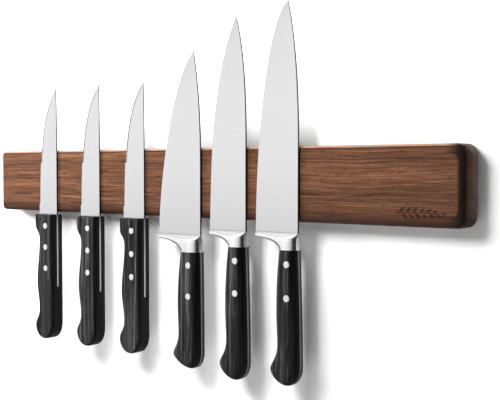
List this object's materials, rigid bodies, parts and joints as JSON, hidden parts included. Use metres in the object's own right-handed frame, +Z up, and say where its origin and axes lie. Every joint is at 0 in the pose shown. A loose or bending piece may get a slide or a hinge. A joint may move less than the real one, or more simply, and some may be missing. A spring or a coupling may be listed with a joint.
{
  "type": "magnetic knife strip with knives",
  "caption": "Wooden wall strip with hidden magnets, holding serrated steak knives and forged kitchen knives by their blades; each knife pulls off on its own.",
  "frame": {"origin": "middle of the strip's flat back face, on the wall", "axes": "+X along the strip towards its free end, +Y into the wall, +Z up; the knives stand in front at -Y with their points up"},
  "size_m": [0.528, 0.0294, 0.3169],
  "materials": {
    "walnut": "oiled, fine straight grain",
    "magnet": "plain ferrite",
    "zinc_steel": "zinc plated",
    "pad_foam": "closed-cell foam",
    "cover_board": "dark stained board",
    "screw_zinc": "zinc plated",
    "blade_steel": "satin ground blade, polished bolster",
    "black_wood": "black resin-filled wood, satin",
    "rivet_steel": "polished"
  },
  "bodies": {
    "strip": {"wood_bar": "walnut", "magnets": "magnet", "keeper_plate": "zinc_steel", "pressure_pad": "pad_foam", "back_cover": "cover_board", "cover_screws": "screw_zinc", "hanger_plate_left": "zinc_steel", "hanger_plate_right": "zinc_steel", "hanger_screws_left": "screw_zinc", "hanger_screws_right": "screw_zinc"},
    "steak_knife_left": {"steak_knife_left_blade": "blade_steel", "steak_knife_left_grip": "black_wood", "steak_knife_left_rivet_studs": "rivet_steel", "steak_knife_left_rivet_sockets": "rivet_steel"},
    "steak_knife_middle": {"steak_knife_middle_blade": "blade_steel", "steak_knife_middle_grip": "black_wood", "steak_knife_middle_rivet_studs": "rivet_steel", "steak_knife_middle_rivet_sockets": "rivet_steel"},
    "steak_knife_right": {"steak_knife_right_blade": "blade_steel", "steak_knife_right_grip": "black_wood", "steak_knife_right_rivet_studs": "rivet_steel", "steak_knife_right_rivet_sockets": "rivet_steel"},
    "cook_knife": {"cook_knife_blade": "blade_steel", "cook_knife_front_scale": "black_wood", "cook_knife_back_scale": "black_wood", "cook_knife_rivet_studs": "rivet_steel", "cook_knife_rivet_sockets": "rivet_steel"},
    "slicing_knife": {"slicing_knife_blade": "blade_steel", "slicing_knife_front_scale": "black_wood", "slicing_knife_back_scale": "black_wood", "slicing_knife_rivet_studs": "rivet_steel", "slicing_knife_rivet_sockets": "rivet_steel"},
    "carving_knife": {"carving_knife_blade": "blade_steel", "carving_knife_front_scale": "black_wood", "carving_knife_back_scale": "black_wood", "carving_knife_rivet_studs": "rivet_steel", "carving_knife_rivet_sockets": "rivet_steel"}
  },
  "joints": [
    {"name": "steak_knife_left_pull", "type": "slide", "parent": "strip", "child": "steak_knife_left", "axis": [0, -1, 0], "range_m": [0, 0.08]},
    {"name": "steak_knife_middle_pull", "type": "slide", "parent": "strip", "child": "steak_knife_middle", "axis": [0, -1, 0], "range_m": [0, 0.08]},
    {"name": "steak_knife_right_pull", "type": "slide", "parent": "strip", "child": "steak_knife_right", "axis": [0, -1, 0], "range_m": [0, 0.08]},
    {"name": "cook_knife_pull", "type": "slide", "parent": "strip", "child": "cook_knife", "axis": [0, -1, 0], "range_m": [0, 0.08]},
    {"name": "slicing_knife_pull", "type": "slide", "parent": "strip", "child": "slicing_knife", "axis": [0, -1, 0], "range_m": [0, 0.08]},
    {"name": "carving_knife_pull", "type": "slide", "parent": "strip", "child": "carving_knife", "axis": [0, -1, 0], "range_m": [0, 0.08]}
  ]
}
